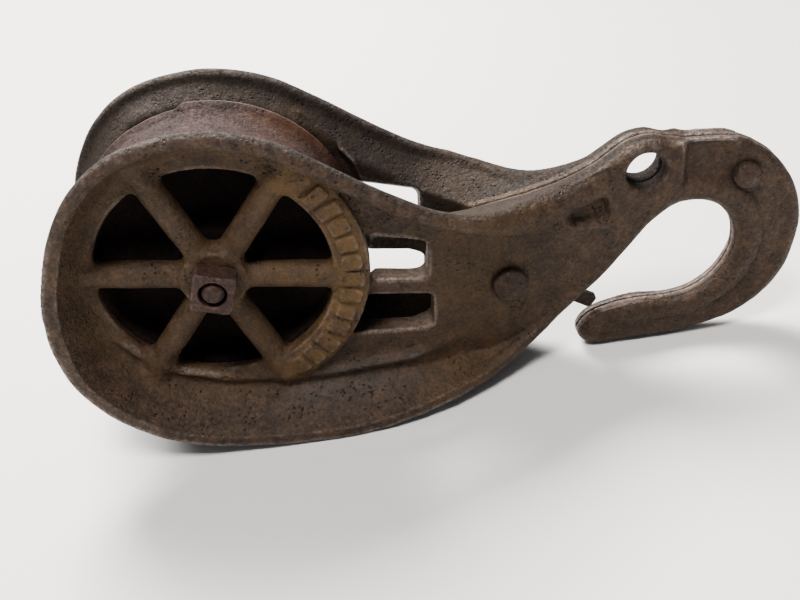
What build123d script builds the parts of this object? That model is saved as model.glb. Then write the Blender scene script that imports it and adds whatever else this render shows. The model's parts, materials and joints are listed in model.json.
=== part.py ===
"""Cast-iron hay and barn pulley block with a cast-in hook, lying as it stands on a bench.

Millimetres.  +Z up, +X from the wheel end towards the hook, Y across the block.
The origin is on the bench, under the middle of the block.

Two mirrored iron castings (cheeks) meet on the plane Y = 0 from the neck to the hook
tip.  Each cheek is measured in its own casting frame: x along the wheel's level spokes,
z across them, both from the axle, and w outwards from the plane where the cheeks meet.
On the bench the casting frame is tipped down by `bench_tip` about the axle.
"""

import os
from math import cos, radians, sin

from build123d import *

# ---- where the block stands ----
bench_tip = 9.44         # degrees; both lower rims and the hook tip touch the bench
axle_x = -108.24         # the axle, from the origin
axle_z = 94.31

# ---- wheel side of each cheek ----
ring_opening_r = 57.0    # 4 1/2 in opening
ring_back_w = 20.0
ring_face_w = 28.0
band_r = 75.0            # broad raised band on the hook side of the ring
band_face_w = 30.0
band_half_angle = 60.0   # degrees
band_tuck_angle = 15.0   # degrees that each end of the band runs on under the dish
pad_count = 13           # plain raised bars on the band
pad_angle = 8.6          # degrees from bar to bar
pad_size = (12.0, 4.5, 1.5)
spoke_count = 6
spoke_width = 13.5
spoke_face_w = 31.5
spoke_reach = 70.0
hub_r = 19.0
hub_back_w = 19.5
hub_face_w = 32.5

# ---- flared rim ----
rim_w = 44.2             # rim edge outwards from the joint plane, level with the axle
rim_lean = 0.083         # the rim edge moves outwards this much per mm below the axle
rim_r = 84.7             # outer radius of the flare where w = rim_w, about its own centre
rim_centre_x = 4.5       # the flare's centre is this far from the axle, towards the hook
dish_inner_r = 50.0
flare = 0.63             # growth of that radius per mm outwards
rim_wall = 7.0           # radial thickness of the flare
flare_start_w = 32.0     # inside the dish, the ring face runs into the flare up to here
dish_ease = 3.0          # radial width of that run-in
flare_end_w = 56.0
dish_start = 62.0        # degrees; the round dish runs from here anticlockwise
dish_arc = 226.0
lip_thick = 7.0
lip_root_growth = 1.3    # the lip is this much thicker at its root

# ---- side bars, shank, neck and hook ----
bar_back_w = 15.0
bar_face_w = 27.0
shank_face_w = 17.0
rivet_boss_r = 10.0
boss_half_w = 10.0
hook_half_w = 7.3
hook_round = 3.5
outline_w = 40.0
plan_height = 150.0
window_corner = 3.0

# ---- bolt, nut, eye and rivets ----
bolt_r = 6.35            # 1/2 in bolt
bolt_hole_r = 6.5
bolt_end_w = 44.6
nut_across = 20.6        # 13/16 in regular square nut
nut_thick = 11.1
nut_turn = -10.0         # degrees
head_across = 19.05      # 3/4 in square head
head_thick = 8.7
head_chamfer = 1.0
nut_chamfer = 0.8
eye_r = 9.5              # 3/4 in eye
eye_at = (209.0, 48.0)
shank_rivet_at = (147.0, -12.0)
shank_rivet_r = 4.76     # 3/8 in rivet
shank_head_r = 8.0
shank_head_h = 4.5
shank_head_round = 4.0
hook_rivet_at = (262.0, 45.0)
hook_rivet_r = 3.97      # 5/16 in rivet
hook_head_r = 6.7
hook_head_h = 2.6
hook_head_round = 1.6

# ---- sheave and its sleeve ----
sheave_r = 72.0
sheave_half_w = 18.0
flange_edge = 2.0
groove_depth = 5.0
sheave_rim_inner_r = 57.0
sheave_web_half_w = 5.5
sheave_hub_r = 21.0
sheave_hub_half_w = 18.8
sleeve_r = 11.1
running_gap = 0.08

# ---- keeper tongue at the hook's mouth ----
keeper_end = (198.5, -35.2)
keeper_turn = -24.0      # degrees
keeper_length = 38.0
keeper_height = 8.4
keeper_half_w = 2.3

# ---- casting frame ----
along = Vector(cos(radians(bench_tip)), 0, -sin(radians(bench_tip)))
upwards = Vector(sin(radians(bench_tip)), 0, cos(radians(bench_tip)))
outward = Vector(0, -1, 0)
axle = Vector(axle_x, 0, axle_z)
side = Plane(origin=axle, x_dir=along, z_dir=outward)        # local x, z and w
plan = Plane(origin=axle, x_dir=along, z_dir=upwards)        # local x and -w
across = Plane(origin=axle, x_dir=outward, z_dir=-along)     # local w and z
axle_line = Axis(axle, outward)


def radial_plane(angle, centre=axle):
    """Plane through the axle line: local x runs out along the radius, local y outwards."""
    reach = along * cos(radians(angle)) + upwards * sin(radians(angle))
    return Plane(origin=centre, x_dir=reach, z_dir=reach.cross(outward))


def flare_r(w):
    """Outer radius of the flared rim at a distance w from the joint plane."""
    return rim_r + flare * (w - rim_w)


# The lips that carry the rim on from the wheel to the neck, one section after another:
# x, then z and w of the outer edge, then w and z of the root on the back of the wall.
top_lip = [
    (26.0, 76.3, 37.9, 20.0, 64.5),
    (50.0, 65.5, 38.0, 20.0, 54.0),
    (75.0, 53.0, 38.0, 20.0, 41.5),
    (100.0, 41.5, 37.5, 17.0, 30.0),
    (118.0, 37.5, 36.0, 6.0, 24.0),
    (132.0, 35.5, 33.0, 0.0, 24.0),
    (146.0, 35.2, 27.0, 0.0, 31.5),
    (158.0, 37.0, 19.0, 0.0, 36.5),
    (170.0, 41.0, 13.5, 0.0, 41.5),
    (184.0, 48.0, 10.5, 0.0, 49.0),
]
bottom_lip = [
    (20.0, -87.3, 51.3, 20.0, -66.5),
    (45.0, -87.5, 51.2, 20.0, -68.0),
    (68.0, -84.3, 50.6, 20.0, -65.0),
    (88.0, -79.5, 49.0, 18.0, -60.0),
    (104.0, -74.5, 46.0, 14.0, -56.5),
    (122.0, -69.5, 40.0, 4.0, -54.0),
    (143.0, -63.5, 29.5, 0.0, -54.0),
    (162.0, -53.0, 17.5, 0.0, -50.0),
    (178.0, -36.5, 12.0, 0.0, -36.0),
    (190.0, -19.0, 10.5, 0.0, -19.0),
]

os.makedirs("parts", exist_ok=True)

rim_centre = axle + along * rim_centre_x

# ---- ring with its flared dish, cut off along the leaning rim edge ----
with BuildPart() as dish:
    with BuildSketch(radial_plane(dish_start, rim_centre)):
        with BuildLine():
            Polyline((dish_inner_r, ring_back_w), (dish_inner_r, ring_face_w),
                     (flare_r(ring_face_w) - rim_wall - dish_ease, ring_face_w),
                     (flare_r(flare_start_w) - rim_wall, flare_start_w),
                     (flare_r(flare_end_w) - rim_wall, flare_end_w),
                     (flare_r(flare_end_w), flare_end_w),
                     (flare_r(ring_back_w), ring_back_w),
                     (dish_inner_r, ring_back_w))
        make_face()
    revolve(axis=Axis(rim_centre, outward), revolution_arc=dish_arc)
    split(bisect_by=Plane(origin=axle + outward * rim_w, z_dir=outward + upwards * rim_lean),
          keep=Keep.BOTTOM)
    with BuildSketch(side):
        Circle(ring_opening_r)
    extrude(amount=outline_w, mode=Mode.SUBTRACT)

# ---- front cheek: wheel side, flared rim, shank half, eye half and hook half ----
with BuildPart() as front_cheek:
    # shank, neck, eye and hook: the side outline, as thick as the plan outline
    with BuildSketch(side):
        with BuildLine():
            Polyline((50, -60), (50, 50), (75, 42), (100, 31), (118, 29), (132, 33))
            Spline((132, 33), (158, 36.5), (184, 48), (198, 61), (209, 65), (222, 64), (252, 65))
            Spline((252, 65), (272, 56), (290, 38), (299, 16), (299, -5), (288, -28),
                   (262, -49), (232, -56), (206, -61))
            ThreePointArc((206, -61), (190, -52), (202, -39))
            Spline((202, -39), (225, -31.5), (246, -27.5), (260, -15), (265.5, 3), (259, 20),
                   (244, 28), (227, 24), (214, 9), (190, -20))
            Polyline((190, -20), (178, -37), (162, -50), (143, -55), (122, -56), (101, -58),
                     (83, -62), (50, -60))
        make_face()
    extrude(amount=outline_w)
    with BuildSketch(plan):
        with BuildLine():
            Polyline((45, -bar_face_w), (45, -ring_back_w), (75, -ring_back_w),
                     (79, -bar_back_w), (98, -bar_back_w), (127, 0), (301, 0),
                     (301, -hook_half_w), (236, -hook_half_w), (228, -boss_half_w),
                     (186, -boss_half_w), (165, -13.5), (136, -shank_face_w),
                     (105, -bar_face_w), (45, -bar_face_w))
        make_face()
    extrude(amount=plan_height, both=True, mode=Mode.INTERSECT)
    hook_face = front_cheek.faces().filter_by(side).sort_by(Axis.Y)[-2]
    chamfer(hook_face.edges().filter_by(GeomType.BSPLINE), hook_round)

    # side windows, one above and one below the middle bar
    with BuildSketch(side) as windows:
        with BuildLine():
            Polyline((60, -3), (60, 22), (98, 22), (103.5, -3), (60, -3))
        make_face()
        with BuildLine():
            Polyline((60, -37), (60, -12), (107, -12), (109, -33), (60, -37))
        make_face()
        fillet(windows.vertices(), window_corner)
    extrude(amount=outline_w, mode=Mode.SUBTRACT)

    # the dish, and the raised band on its hook side
    add(dish.part)
    with BuildSketch(radial_plane(-band_half_angle - band_tuck_angle)):
        with BuildLine():
            Polyline((ring_opening_r, ring_back_w), (ring_opening_r, band_face_w),
                     (band_r, band_face_w), (band_r, ring_back_w), (ring_opening_r, ring_back_w))
        make_face()
    revolve(axis=axle_line, revolution_arc=2 * (band_half_angle + band_tuck_angle))

    # lips along the side bars and the shank
    for lip, inward in ((top_lip, -lip_thick), (bottom_lip, lip_thick)):
        for x, z_edge, w_edge, w_root, z_root in lip:
            with BuildSketch(across.offset(-x)):
                with BuildLine():
                    Polyline((w_root, z_root), (w_edge, z_edge), (w_edge, z_edge + inward),
                             (w_root, z_root + lip_root_growth * inward), (w_root, z_root))
                make_face()
        loft(ruled=True)

    # spokes, hub, the plain bars on the band and a flat for the shank rivet
    with BuildSketch(side.offset(ring_back_w)):
        with PolarLocations(0, spoke_count):
            Rectangle(spoke_reach, spoke_width, align=(Align.MIN, Align.CENTER))
    extrude(amount=spoke_face_w - ring_back_w)
    with BuildSketch(side.offset(hub_back_w)):
        Circle(hub_r)
    extrude(amount=hub_face_w - hub_back_w)
    with BuildSketch(side.offset(band_face_w)):
        with PolarLocations((ring_opening_r + band_r) / 2, pad_count,
                            start_angle=-pad_angle * (pad_count - 1) / 2,
                            angular_range=pad_angle * (pad_count - 1), endpoint=True):
            Rectangle(pad_size[0], pad_size[1])
    extrude(amount=pad_size[2])
    with BuildSketch(side):
        with Locations(shank_rivet_at):
            Circle(rivet_boss_r)
    extrude(amount=shank_face_w)

    # bolt hole, eye, rivet holes and half of the keeper's slot
    with BuildSketch(side):
        Circle(bolt_hole_r)
        with Locations(eye_at):
            Circle(eye_r)
        with Locations(shank_rivet_at):
            Circle(shank_rivet_r)
        with Locations(hook_rivet_at):
            Circle(hook_rivet_r)
    extrude(amount=outline_w, mode=Mode.SUBTRACT)
    with BuildSketch(side):
        with Locations(Location((keeper_end[0], keeper_end[1], 0), (0, 0, keeper_turn))):
            Rectangle(keeper_length, keeper_height, align=(Align.MAX, Align.CENTER))
    extrude(amount=keeper_half_w, mode=Mode.SUBTRACT)
front_cheek.part.label = "front_cheek"
export_step(front_cheek.part, "parts/front_cheek.step")

# ---- rear cheek: the mirrored casting ----
with BuildPart() as rear_cheek:
    mirror(front_cheek.part, about=Plane.XZ)
rear_cheek.part.label = "rear_cheek"
export_step(rear_cheek.part, "parts/rear_cheek.step")

# ---- sheave: a wide shallow groove on a solid web ----
with BuildPart() as sheave:
    with BuildSketch(radial_plane(0)):
        with BuildLine():
            groove_edge = sheave_half_w - flange_edge
            Line((sheave_r, -sheave_half_w), (sheave_r, -groove_edge))
            ThreePointArc((sheave_r, -groove_edge), (sheave_r - groove_depth, 0), (sheave_r, groove_edge))
            Polyline((sheave_r, groove_edge), (sheave_r, sheave_half_w),
                     (sheave_rim_inner_r, sheave_half_w), (sheave_rim_inner_r, sheave_web_half_w),
                     (sheave_hub_r, sheave_web_half_w), (sheave_hub_r, sheave_hub_half_w),
                     (sleeve_r + running_gap, sheave_hub_half_w),
                     (sleeve_r + running_gap, -sheave_hub_half_w),
                     (sheave_hub_r, -sheave_hub_half_w), (sheave_hub_r, -sheave_web_half_w),
                     (sheave_rim_inner_r, -sheave_web_half_w),
                     (sheave_rim_inner_r, -sheave_half_w), (sheave_r, -sheave_half_w))
        make_face()
    revolve(axis=axle_line)
sheave.part.label = "sheave"
export_step(sheave.part, "parts/sheave.step")

# ---- sleeve: the tube between the hubs that the sheave turns on ----
with BuildPart() as axle_sleeve:
    with BuildSketch(side):
        Circle(sleeve_r)
        Circle(bolt_hole_r, mode=Mode.SUBTRACT)
    extrude(amount=hub_back_w, both=True)
axle_sleeve.part.label = "axle_sleeve"
export_step(axle_sleeve.part, "parts/axle_sleeve.step")

# ---- axle bolt, square head at the rear ----
with BuildPart() as axle_bolt:
    with BuildSketch(side.offset(-hub_face_w)):
        Circle(bolt_r)
    extrude(amount=hub_face_w + bolt_end_w)
    with BuildSketch(side.offset(-hub_face_w - head_thick)):
        Rectangle(head_across, head_across)
    extrude(amount=head_thick)
    chamfer(axle_bolt.faces().sort_by(Axis.Y)[0].edges(), head_chamfer)
axle_bolt.part.label = "axle_bolt"
export_step(axle_bolt.part, "parts/axle_bolt.step")

# ---- square nut at the front ----
with BuildPart() as axle_nut:
    with BuildSketch(side.offset(hub_face_w)):
        Rectangle(nut_across, nut_across, rotation=nut_turn)
    extrude(amount=nut_thick)
    chamfer(axle_nut.faces().sort_by(Axis.Y)[0].edges(), nut_chamfer)
    with BuildSketch(side.offset(hub_face_w)):
        Circle(bolt_r)
    extrude(amount=nut_thick, mode=Mode.SUBTRACT)
axle_nut.part.label = "axle_nut"
export_step(axle_nut.part, "parts/axle_nut.step")

# ---- rivets: a stem through both cheeks and a rounded head on each ----
with BuildPart() as shank_rivet:
    with BuildSketch(side):
        with Locations(shank_rivet_at):
            Circle(shank_rivet_r)
    extrude(amount=shank_face_w)
    with BuildSketch(side.offset(shank_face_w)):
        with Locations(shank_rivet_at):
            Circle(shank_head_r)
    extrude(amount=shank_head_h)
    fillet(shank_rivet.faces().sort_by(Axis.Y)[0].edges(), shank_head_round)
    mirror(about=Plane.XZ)
shank_rivet.part.label = "shank_rivet"
export_step(shank_rivet.part, "parts/shank_rivet.step")

with BuildPart() as hook_rivet:
    with BuildSketch(side):
        with Locations(hook_rivet_at):
            Circle(hook_rivet_r)
    extrude(amount=hook_half_w)
    with BuildSketch(side.offset(hook_half_w)):
        with Locations(hook_rivet_at):
            Circle(hook_head_r)
    extrude(amount=hook_head_h)
    fillet(hook_rivet.faces().sort_by(Axis.Y)[0].edges(), hook_head_round)
    mirror(about=Plane.XZ)
hook_rivet.part.label = "hook_rivet"
export_step(hook_rivet.part, "parts/hook_rivet.step")

# ---- keeper: the tongue between the castings that closes the hook's mouth ----
with BuildPart() as hook_keeper:
    with BuildSketch(side.offset(-keeper_half_w)):
        with Locations(Location((keeper_end[0], keeper_end[1], 0), (0, 0, keeper_turn))):
            Rectangle(keeper_length, keeper_height, align=(Align.MAX, Align.CENTER))
    extrude(amount=2 * keeper_half_w)
hook_keeper.part.label = "hook_keeper"
export_step(hook_keeper.part, "parts/hook_keeper.step")
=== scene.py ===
"""Looks of a cast-iron barn pulley block: two cast cheeks, a sheave, their bolt, rivets and keeper.

Every casting is carved as a distance field on a grid and skinned, so that its ribs, beads and
bosses run into each other with the soft fillets that sand casting leaves.  Sizes of the castings
are in millimetres in the casting frame: x runs from the axle along the level spokes towards the
hook, z stands across them, and w runs outwards from the plane where the two cheeks meet.
"""

import sys

import json
import logging
import math
from dataclasses import dataclass, field
from enum import Enum
from typing import Callable

import bpy
import numpy as np
from mathutils import Matrix, Vector

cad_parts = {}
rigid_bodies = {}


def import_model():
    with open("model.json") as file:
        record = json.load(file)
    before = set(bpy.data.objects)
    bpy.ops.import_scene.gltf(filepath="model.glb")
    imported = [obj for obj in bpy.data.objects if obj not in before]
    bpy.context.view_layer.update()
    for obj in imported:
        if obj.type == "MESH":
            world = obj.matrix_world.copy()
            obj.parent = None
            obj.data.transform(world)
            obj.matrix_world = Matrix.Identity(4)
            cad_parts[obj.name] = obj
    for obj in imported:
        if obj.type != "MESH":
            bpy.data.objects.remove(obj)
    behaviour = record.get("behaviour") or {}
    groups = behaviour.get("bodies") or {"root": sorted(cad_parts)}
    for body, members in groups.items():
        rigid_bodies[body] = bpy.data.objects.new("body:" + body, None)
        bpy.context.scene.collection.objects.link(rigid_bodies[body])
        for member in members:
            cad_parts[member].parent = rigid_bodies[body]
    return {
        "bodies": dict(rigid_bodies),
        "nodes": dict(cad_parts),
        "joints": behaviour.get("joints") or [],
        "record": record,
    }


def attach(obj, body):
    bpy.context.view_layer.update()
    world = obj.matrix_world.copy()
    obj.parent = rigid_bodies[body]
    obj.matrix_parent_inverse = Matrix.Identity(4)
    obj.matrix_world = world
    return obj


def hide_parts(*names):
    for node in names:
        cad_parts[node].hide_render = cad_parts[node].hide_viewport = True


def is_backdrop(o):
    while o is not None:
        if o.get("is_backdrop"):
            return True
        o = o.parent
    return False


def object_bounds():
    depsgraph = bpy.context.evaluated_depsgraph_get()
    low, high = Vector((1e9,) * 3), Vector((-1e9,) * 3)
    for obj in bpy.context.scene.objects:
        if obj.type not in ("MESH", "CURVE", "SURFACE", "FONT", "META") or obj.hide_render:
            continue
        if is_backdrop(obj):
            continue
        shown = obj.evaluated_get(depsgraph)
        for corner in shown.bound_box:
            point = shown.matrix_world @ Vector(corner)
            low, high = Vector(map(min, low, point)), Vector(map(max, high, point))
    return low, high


LOG = logging.getLogger("pulley")
MM = 0.001
EYE_IN_CASTING = (209.0, 48.0)
SHANK_RIVET = (147.0, -12.0)
HOOK_RIVET = (262.0, 45.0)
RIVET_RINGS = ((SHANK_RIVET, 9.0), (HOOK_RIVET, 7.2))
FINE_STEP = 0.82


class Side(Enum):
    """Which side of the joint plane a piece is on: the sign of Y."""

    FRONT = -1
    REAR = 1


# ---- frames and grids


@dataclass(frozen=True)
class CastingFrame:
    """Places casting coordinates in the row frame."""

    axle: Vector
    tip: float

    @classmethod
    def from_record(cls, record: dict) -> "CastingFrame":
        """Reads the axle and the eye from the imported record.

        Args:
            record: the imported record.

        Returns:
            The frame whose x axis is tipped down by the angle that the eye shows.
        """
        axle = Vector(record["behaviour"]["joints"][0]["pos_m"])
        mounts = {mount["name"]: Vector(mount["pos_m"]) for mount in record["mounts"]}
        reach = mounts["eye"] - axle
        drawn = math.atan2(EYE_IN_CASTING[1], EYE_IN_CASTING[0])
        return cls(axle=axle, tip=drawn - math.atan2(reach.z, reach.x))

    def place(self, points: np.ndarray, side: Side) -> np.ndarray:
        """Turns casting points into row points.

        Args:
            points: rows of x, z, w in millimetres.
            side: the side of the joint plane.

        Returns:
            Rows of X, Y, Z in metres.
        """
        x, z, w = points[:, 0] * MM, points[:, 1] * MM, points[:, 2] * MM
        cos_tip, sin_tip = math.cos(self.tip), math.sin(self.tip)
        return np.stack(
            (
                self.axle.x + x * cos_tip + z * sin_tip,
                self.axle.y + side.value * w,
                self.axle.z - x * sin_tip + z * cos_tip,
            ),
            axis=1,
        )


@dataclass
class Grid:
    """An even grid over a box of casting space."""

    low: tuple[float, float, float]
    high: tuple[float, float, float]
    step: float
    x: np.ndarray = field(init=False)
    z: np.ndarray = field(init=False)
    w: np.ndarray = field(init=False)

    def __post_init__(self) -> None:
        """Lays out the three axes, shaped so that they broadcast against each other."""
        ends = zip(self.low, self.high)
        axes = [np.arange(a, b + self.step, self.step, dtype=np.float32) for a, b in ends]
        self.x = axes[0][:, None, None]
        self.z = axes[1][None, :, None]
        self.w = axes[2][None, None, :]

    @property
    def shape(self) -> tuple[int, int, int]:
        """Number of grid points along each axis."""
        return self.x.shape[0], self.z.shape[1], self.w.shape[2]

    def sample(self, values: np.ndarray, points: np.ndarray) -> np.ndarray:
        """Reads a grid array between its grid points.

        Args:
            values: an array over the whole grid, or over x and z only.
            points: rows of x, z, w in millimetres.

        Returns:
            One value for each row.
        """
        axes = values.ndim
        place = (points[:, :axes] - np.array(self.low[:axes])) / self.step
        place = np.clip(place, 0, np.array(values.shape) - 1.001)
        base = place.astype(int)
        part = place - base
        total = np.zeros(len(points))
        for corner in np.ndindex(*(2,) * axes):
            shares = [part[:, k] if c else 1 - part[:, k] for k, c in enumerate(corner)]
            weight = np.prod(shares, axis=0)
            total += weight * values[tuple((base + corner).T)]
        return total


# ---- field arithmetic


def round_max(a: np.ndarray, b: np.ndarray, radius: np.ndarray | float) -> np.ndarray:
    """Intersects two fields and rounds the outside edge between them to a radius."""
    out = np.hypot(np.maximum(a + radius, 0), np.maximum(b + radius, 0))
    return np.minimum(np.maximum(a, b), -radius) + out


def soft_min(a: np.ndarray, b: np.ndarray, blend: float) -> np.ndarray:
    """Joins two fields with a fillet about as wide as the blend."""
    h = np.maximum(blend - np.abs(a - b), 0) / blend
    return np.minimum(a, b) - h * h * blend * 0.25


def soft_max(a: np.ndarray, b: np.ndarray, blend: float) -> np.ndarray:
    """The larger of two values, eased where they cross."""
    return -soft_min(-a, -b, blend)


def ease(low: float, high: float, value: np.ndarray) -> np.ndarray:
    """Rises smoothly from 0 at low to 1 at high."""
    t = np.clip((value - low) / (high - low), 0, 1)
    return t * t * (3 - 2 * t)


def wander(grid: Grid, cell: float, seed: int) -> np.ndarray:
    """Smooth random values between -1 and 1 over a grid.

    Args:
        grid: the grid.
        cell: distance between the random values, in millimetres.
        seed: seed of the random values.

    Returns:
        An array over the grid.
    """
    counts = [int(n * grid.step / cell) + 3 for n in grid.shape]
    values = np.random.default_rng(seed).uniform(-1, 1, counts).astype(np.float32)
    for axis, n in enumerate(grid.shape):
        place = np.arange(n) * grid.step / cell
        index = place.astype(int)
        t = (place - index).astype(np.float32)
        t = (t * t * (3 - 2 * t)).reshape([-1 if k == axis else 1 for k in range(3)])
        values = values.take(index, axis) * (1 - t) + values.take(index + 1, axis) * t
    return values


def blur(values: np.ndarray, reach: int, passes: int = 2) -> np.ndarray:
    """Box blur over every axis of an array."""
    out = values
    for _ in range(passes):
        for axis in range(values.ndim):
            size = out.shape[axis]
            pad = [(reach + 1, reach) if k == axis else (0, 0) for k in range(values.ndim)]
            total = np.cumsum(np.pad(out, pad, mode="edge"), axis=axis, dtype=np.float64)
            upper = total.take(np.arange(2 * reach + 1, 2 * reach + 1 + size), axis)
            lower = total.take(np.arange(size), axis)
            out = ((upper - lower) / (2 * reach + 1)).astype(np.float32)
    return out


def skin(grid: Grid, values: np.ndarray) -> tuple[np.ndarray, np.ndarray]:
    """Skins the zero surface of a field with quads, one vertex for each cell that it crosses.

    Args:
        grid: the grid.
        values: the field, negative inside the piece.

    Returns:
        Vertices as rows of x, z, w, and quads as rows of four vertex numbers, facing outwards.
    """
    inside = values < 0
    corners = [(i, j, k) for i in (0, 1) for j in (0, 1) for k in (0, 1)]
    cells = tuple(n - 1 for n in values.shape)

    def shifted(array: np.ndarray, corner: tuple[int, int, int]) -> np.ndarray:
        """The array moved so that a cell's corner is at its own number."""
        return array[tuple(slice(c, c + n) for c, n in zip(corner, cells))]

    count = sum(shifted(inside, c).astype(np.int8) for c in corners)
    active = np.argwhere((count > 0) & (count < 8))
    number = np.full(cells, -1, np.int32)
    number[tuple(active.T)] = np.arange(len(active))
    total = np.zeros((len(active), 3), np.float64)
    hits = np.zeros(len(active))
    for axis in range(3):
        for corner in (c for c in corners if c[axis] == 0):
            end = tuple(c + (k == axis) for k, c in enumerate(corner))
            a = values[tuple((active + corner).T)].astype(np.float64)
            b = values[tuple((active + end).T)].astype(np.float64)
            cut = (a < 0) != (b < 0)
            t = np.where(cut, a / np.where(cut, a - b, 1), 0)
            spot = np.array(corner, float)[None, :].repeat(len(active), 0)
            spot[:, axis] = t
            total += np.where(cut[:, None], spot, 0)
            hits += cut
    vertices = (active + total / hits[:, None]) * grid.step + np.array(grid.low)
    quads = []
    for axis in range(3):
        u, v = (axis + 1) % 3, (axis + 2) % 3
        span = [slice(1, n - 1) for n in values.shape]
        span[axis] = slice(0, values.shape[axis] - 1)
        ahead = list(span)
        ahead[axis] = slice(1, values.shape[axis])
        here, there = inside[tuple(span)], inside[tuple(ahead)]
        for leaving, flip in ((here & ~there, False), (~here & there, True)):
            at = np.argwhere(leaving)
            at[:, u] += 1
            at[:, v] += 1
            ring = []
            for du, dv in ((1, 1), (0, 1), (0, 0), (1, 0)):
                cell = at.copy()
                cell[:, u] -= du
                cell[:, v] -= dv
                ring.append(number[tuple(cell.T)])
            quad = np.stack(ring, 1)
            quads.append(quad[:, ::-1] if flip else quad)
    return vertices, np.concatenate(quads)


def make_object(
    name: str,
    vertices: np.ndarray,
    quads: np.ndarray,
    tones: dict[str, np.ndarray] | None = None,
) -> bpy.types.Object:
    """Makes a smooth-shaded mesh object.

    Args:
        name: the object's name.
        vertices: rows of X, Y, Z in metres.
        quads: rows of four vertex numbers.
        tones: named values, one for each vertex, that materials read.

    Returns:
        The object, linked to the scene.
    """
    mesh = bpy.data.meshes.new(name)
    mesh.vertices.add(len(vertices))
    mesh.vertices.foreach_set("co", vertices.astype(np.float32).ravel())
    mesh.loops.add(quads.size)
    mesh.loops.foreach_set("vertex_index", quads.astype(np.int32).ravel())
    mesh.polygons.add(len(quads))
    starts = np.arange(0, quads.size, quads.shape[1], dtype=np.int32)
    mesh.polygons.foreach_set("loop_start", starts)
    mesh.update(calc_edges=True)
    mesh.validate()
    mesh.shade_smooth()
    for tone, values in (tones or {}).items():
        layer = mesh.attributes.new(tone, "FLOAT", "POINT")
        layer.data.foreach_set("value", values.astype(np.float32))
    thing = bpy.data.objects.new(name, mesh)
    bpy.context.scene.collection.objects.link(thing)
    return thing


# ---- the cheeks


@dataclass(frozen=True)
class Run:
    """A run of the cheek's outline.

    Attributes:
        lip: width of the flat edge or bead along the outline.
        bead: radius of the rolled bead; where there is none, the same as the rounding.
        proud: how far the bead stands proud of the edge, as a share of its radius.
        rounding: radius of the edge between the face and the outline.
        points: (x, z, w of the edge, growth of the outline per mm outwards).
    """

    lip: float
    bead: float
    proud: float
    rounding: float
    points: tuple[tuple[float, float, float, float], ...]


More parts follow.
